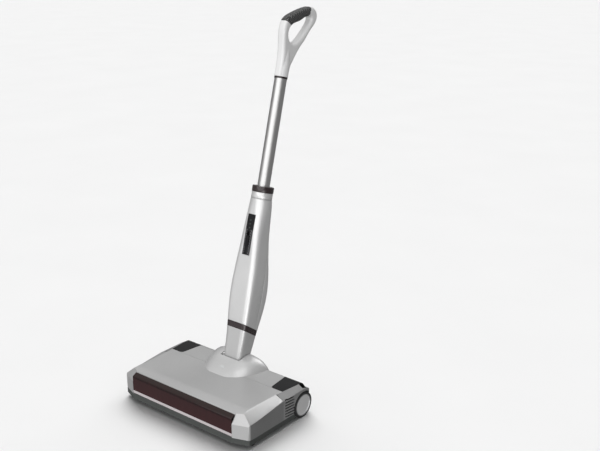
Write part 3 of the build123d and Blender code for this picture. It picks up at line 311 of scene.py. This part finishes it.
def make_materials():
    """A material for each of the record's slots, and the finishes that single nodes have of their own."""
    return {
        "silver_plastic": metallic_paint("silver_paint", 0.45, 0.42),
        "satin_plastic": metallic_paint("satin_paint", 0.57, 0.36),
        "pearl_plastic": metallic_paint("pearl_paint", 0.68, 0.36),
        "white_plastic": moulded("white_moulding", 0.70, 0.74, 0.32, 1000.0, 0.00002),
        "dark_plastic": moulded(
            "dark_moulding", (0.036, 0.040, 0.038), (0.048, 0.053, 0.050), 0.45, 1400.0, 0.00006),
        "side_plastic": side_plastic(),
        "black_plastic": moulded(
            "black_moulding", (0.008, 0.008, 0.009), (0.014, 0.014, 0.015), 0.48, 1200.0, 0.00004,
            Specular_IOR_Level=0.18),
        "window_tint": tinted_window(),
        "pale_trim": moulded(
            "pale_trim_moulding", (0.46, 0.42, 0.43), (0.50, 0.46, 0.47), 0.35, 800.0, 0.00002),
        "band_plastic": moulded(
            "band_gloss", (0.018, 0.010, 0.011), (0.026, 0.015, 0.016), 0.28, 500.0, 0.00001,
            Coat_Weight=0.3),
        "chrome": brushed_metal(
            "chrome_ring", (0.74, 0.75, 0.76), (0.80, 0.81, 0.82), 0.14, streak=(1, 1, 1)),
        "tube_metal": brushed_metal(
            "tube_metal", (0.54, 0.54, 0.535), (0.64, 0.64, 0.635), 0.35, rotation=(LEAN, 0, 0)),
        "tyre_rubber": moulded("tyre_rubber", 0.012, 0.020, 0.7, 1500.0, 0.0001),
        "grip_rubber": hatched_rubber(),
        "soft_rubber": moulded("soft_rubber", 0.022, 0.036, 0.5, 1500.0, 0.0001),
        "steel": brushed_metal("machined_steel", 0.42, 0.52, 0.3, streak=(0.05, 1, 1)),
        "bristle": moulded("bristle_nylon", (0.02, 0.02, 0.02), (0.10, 0.09, 0.09), 0.55, 3000.0, 0.0003),
        "core_plastic": moulded(
            "core_moulding", (0.10, 0.10, 0.105), (0.12, 0.12, 0.125), 0.5, 1000.0, 0.00005),
        "bin_plastic": moulded(
            "bin_moulding", (0.05, 0.05, 0.053), (0.065, 0.065, 0.068), 0.35, 1000.0, 0.00004),
        "foam": moulded("foam", 0.03, 0.09, 0.9, 2500.0, 0.0005),
        "cell": moulded("cell_sleeve", (0.02, 0.08, 0.2), (0.03, 0.1, 0.24), 0.35, 700.0, 0.00002),
        "board": moulded("board_mask", (0.01, 0.09, 0.035), (0.015, 0.12, 0.05), 0.4, 900.0, 0.00003),
        "lens": moulded(
            "lens", (0.50, 0.51, 0.51), (0.60, 0.61, 0.61), 0.12, 600.0, 0.00001, Coat_Weight=0.5),
        "dark_lens": moulded(
            "dark_lens", (0.05, 0.06, 0.055), (0.07, 0.08, 0.075), 0.12, 600.0, 0.00001, Coat_Weight=0.5),
    }


MATERIALS = make_materials()
OTHER_FINISH = {                        # nodes with a finish of their own in place of their slot's
    "side_panel_right": "side_plastic", "side_panel_left": "side_plastic", "status_lenses": "dark_lens",
    # the handle saddle's satin paint, lighter than the head's silver, is painted light for the extra light
    # its slopes catch
    "wheel_hub_right": "pearl_plastic", "wheel_hub_left": "pearl_plastic", "handle_saddle": "satin_plastic",
    "neck_shell": "satin_plastic", "body_front_shell": "pearl_plastic", "body_rear_shell": "pearl_plastic",
    "collar_sleeve": "pearl_plastic", "grip_handle": "white_plastic", "grip_pad": "grip_rubber"}


def paint_frame():
    """Gives every CAD node its material."""
    slots = {part["node"]: part["material_slot"] for part in frame["record"]["subparts"]}
    for name, node in frame["nodes"].items():
        node.data.materials.clear()
        node.data.materials.append(MATERIALS[OTHER_FINISH.get(name, slots[name])])


# ---- details ----
def handle_space():
    """From the handle's own space, upright with the tilt pin at the origin, to the row frame."""
    return Matrix.Translation(PIVOT) @ Matrix.Rotation(-LEAN, 4, "X")


def piece(name, shape, material_slot, body):
    """A finished mesh as a piece that rides on a body."""
    mesh = bpy.data.meshes.new(name)
    shape.to_mesh(mesh)
    shape.free()
    mesh.materials.append(MATERIALS[material_slot])
    made = bpy.data.objects.new(name, mesh)
    bpy.context.scene.collection.objects.link(made)
    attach(made, body)
    return made


def panel_ribs():
    """Slanted ribs on the switch panel, on both sides of the slot."""
    shape = bmesh.new()
    for side in (-1, 1):
        for step in range(PANEL_RIB_COUNT):
            spot = (side * PANEL_RIB_X, PANEL_FACE_Y, PANEL_RIB_LOW + PANEL_RIB_PITCH * step)
            turn = Matrix.Rotation(side * PANEL_RIB_TILT, 4, "Y")
            place = handle_space() @ Matrix.Translation(spot) @ turn
            bmesh.ops.create_cube(shape, size=1.0, matrix=place @ Matrix.Diagonal((*PANEL_RIB_SIZE, 1.0)))
    piece("panel_ribs", shape, "core_plastic", "handle")


def add_fibre(shape, root, tip):
    """A thin three-sided fibre from root to tip."""
    run = tip - root
    along = run.to_track_quat("Z", "Y").to_matrix().to_4x4()
    bmesh.ops.create_cone(
        shape, segments=3, radius1=FIBRE_RADIUS, radius2=FIBRE_RADIUS, depth=run.length,
        matrix=Matrix.Translation((root + tip) / 2) @ along)


def bristle_tufts():
    """Tufts of thin fibres along the brush's twisted rows."""
    spread = np.random.default_rng(5)
    shape = bmesh.new()
    stations = np.arange(-BRUSH_HALF, BRUSH_HALF, TUFT_STEP)
    for row in range(BRUSH_ROWS):
        for x in stations:
            angle = math.tau * row / BRUSH_ROWS + BRUSH_TWIST * abs(x) / BRUSH_HALF
            for _ in range(FIBRES):
                bend_x = spread.normal(0.0, FIBRE_SPREAD_X)
                bend_turn = spread.normal(0.0, FIBRE_SPREAD_TURN)
                ends = []
                for reach, share in zip(TUFT_REACH, TUFT_BEND):
                    turn = angle + bend_turn * share
                    ends.append(Vector((
                        x + bend_x * share, BRUSH_AXIS[0] + reach * math.cos(turn),
                        BRUSH_AXIS[1] + reach * math.sin(turn))))
                add_fibre(shape, *ends)
    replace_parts(piece("bristle_tufts", shape, "bristle", "brush"), "bristle_strips")


def soften(name):
    """Small rounded edges that catch the light."""
    node = frame["nodes"][name]
    weld = node.modifiers.new("weld", "WELD")
    weld.merge_threshold = WELD_REACH
    bevel = node.modifiers.new("bevel", "BEVEL")
    bevel.width = EDGE_WIDTH
    bevel.segments = 2
    bevel.limit_method = "ANGLE"
    bevel.angle_limit = EDGE_ANGLE


def cross_hatch(name):
    """Raises a criss-cross pattern of small diamonds on a node's skin."""
    node = frame["nodes"][name]
    skin = node.modifiers.new("skin", "REMESH")
    skin.mode = "VOXEL"
    skin.voxel_size = HATCH_CELL
    skin.use_smooth_shade = True
    tree = bpy.data.node_groups.new("cross_hatch", "GeometryNodeTree")
    for way in ("INPUT", "OUTPUT"):
        tree.interface.new_socket(name="Geometry", in_out=way, socket_type="NodeSocketGeometry")
    place = tree.nodes.new("GeometryNodeInputPosition").outputs["Position"]
    height = math_node(tree, "MULTIPLY", hatch_height(tree, place), HATCH_DEPTH)
    raised = tree.nodes.new("ShaderNodeVectorMath")
    raised.operation = "SCALE"
    tree.links.new(tree.nodes.new("GeometryNodeInputNormal").outputs["Normal"], raised.inputs[0])
    tree.links.new(height, raised.inputs["Scale"])
    move = tree.nodes.new("GeometryNodeSetPosition")
    tree.links.new(tree.nodes.new("NodeGroupInput").outputs["Geometry"], move.inputs["Geometry"])
    tree.links.new(raised.outputs["Vector"], move.inputs["Offset"])
    tree.links.new(move.outputs["Geometry"], tree.nodes.new("NodeGroupOutput").inputs["Geometry"])
    node.modifiers.new("cross_hatch", "NODES").node_group = tree


paint_frame()
for softened_name in SOFTENED:
    soften(softened_name)
cross_hatch("grip_pad")
panel_ribs()
bristle_tufts()


# ---- floor, light and camera ----
def make_floor():
    """A plain pale floor, which doesn't show in the object's reflections."""
    mesh = bpy.data.meshes.new("floor")
    shape = bmesh.new()
    bmesh.ops.create_grid(shape, x_segments=1, y_segments=1, size=FLOOR_HALF)
    shape.to_mesh(mesh)
    shape.free()
    floor = bpy.data.objects.new("floor", mesh)
    bpy.context.scene.collection.objects.link(floor)
    floor.visible_diffuse = False
    floor.visible_glossy = False
    material, tree, shader = new_material("floor_paper")
    tone = noise(tree, object_place(tree), 3.0)
    link(tree, ramp(tree, tone, (0.3, FLOOR_TONES[0]), (0.7, FLOOR_TONES[1])), shader, "Base Color")
    set_shader(shader, Roughness=0.95, Specular_IOR_Level=0.0)
    mesh.materials.append(material)


def glow(tree, direction, tightness, strength):
    """A soft light round one direction of the sky, as a grey level."""
    sky = tree.nodes.new("ShaderNodeTexCoord").outputs["Generated"]
    facing = math_node(tree, "MAXIMUM", dot_product(tree, sky, direction), 0.0)
    return math_node(tree, "MULTIPLY", math_node(tree, "POWER", facing, tightness), strength)


def make_world():
    """Soft studio light: an even glow all round and brighter patches of sky."""
    world = bpy.data.worlds.new("studio")
    bpy.context.scene.world = world
    world.use_nodes = True
    tree = world.node_tree
    light = AMBIENT
    for direction, tightness, strength in GLOWS:
        light = math_node(tree, "ADD", light, glow(tree, direction, tightness, strength))
    tree.links.new(light, tree.nodes["Background"].inputs["Color"])


def make_sun(name, azimuth, elevation, strength, angle, lights_floor):
    """A soft sun for the floor alone or for all but the floor; azimuth 0 is in front, 90 at the right."""
    data = bpy.data.lights.new(name, "SUN")
    data.energy = strength
    data.angle = math.radians(angle)
    lamp = bpy.data.objects.new(name, data)
    bpy.context.scene.collection.objects.link(lamp)
    turn, rise = math.radians(azimuth), math.radians(elevation)
    source = Vector((math.sin(turn) * math.cos(rise), -math.cos(turn) * math.cos(rise), math.sin(rise)))
    lamp.rotation_euler = (-source).to_track_quat("-Z", "Y").to_euler()
    receivers = bpy.data.collections.new(name + "_receivers")
    receivers.objects.link(bpy.data.objects["floor"])
    receivers.collection_objects[0].light_linking.link_state = "INCLUDE" if lights_floor else "EXCLUDE"
    lamp.light_linking.receiver_collection = receivers


def make_camera():
    """The camera that the object is seen from."""
    data = bpy.data.cameras.new("camera")
    data.lens = CAMERA_LENS
    data.sensor_width = SENSOR_WIDTH
    camera = bpy.data.objects.new("camera", data)
    bpy.context.scene.collection.objects.link(camera)
    camera.location = CAMERA_PLACE
    camera.rotation_euler = Vector(CAMERA_DIRECTION).to_track_quat("-Z", "Y").to_euler()
    bpy.context.scene.camera = camera


make_floor()
make_world()
make_sun("floor_sun", **FLOOR_SUN)
make_sun("key_sun", **KEY_SUN)
make_camera()
bpy.context.scene.view_settings.view_transform = "Standard"
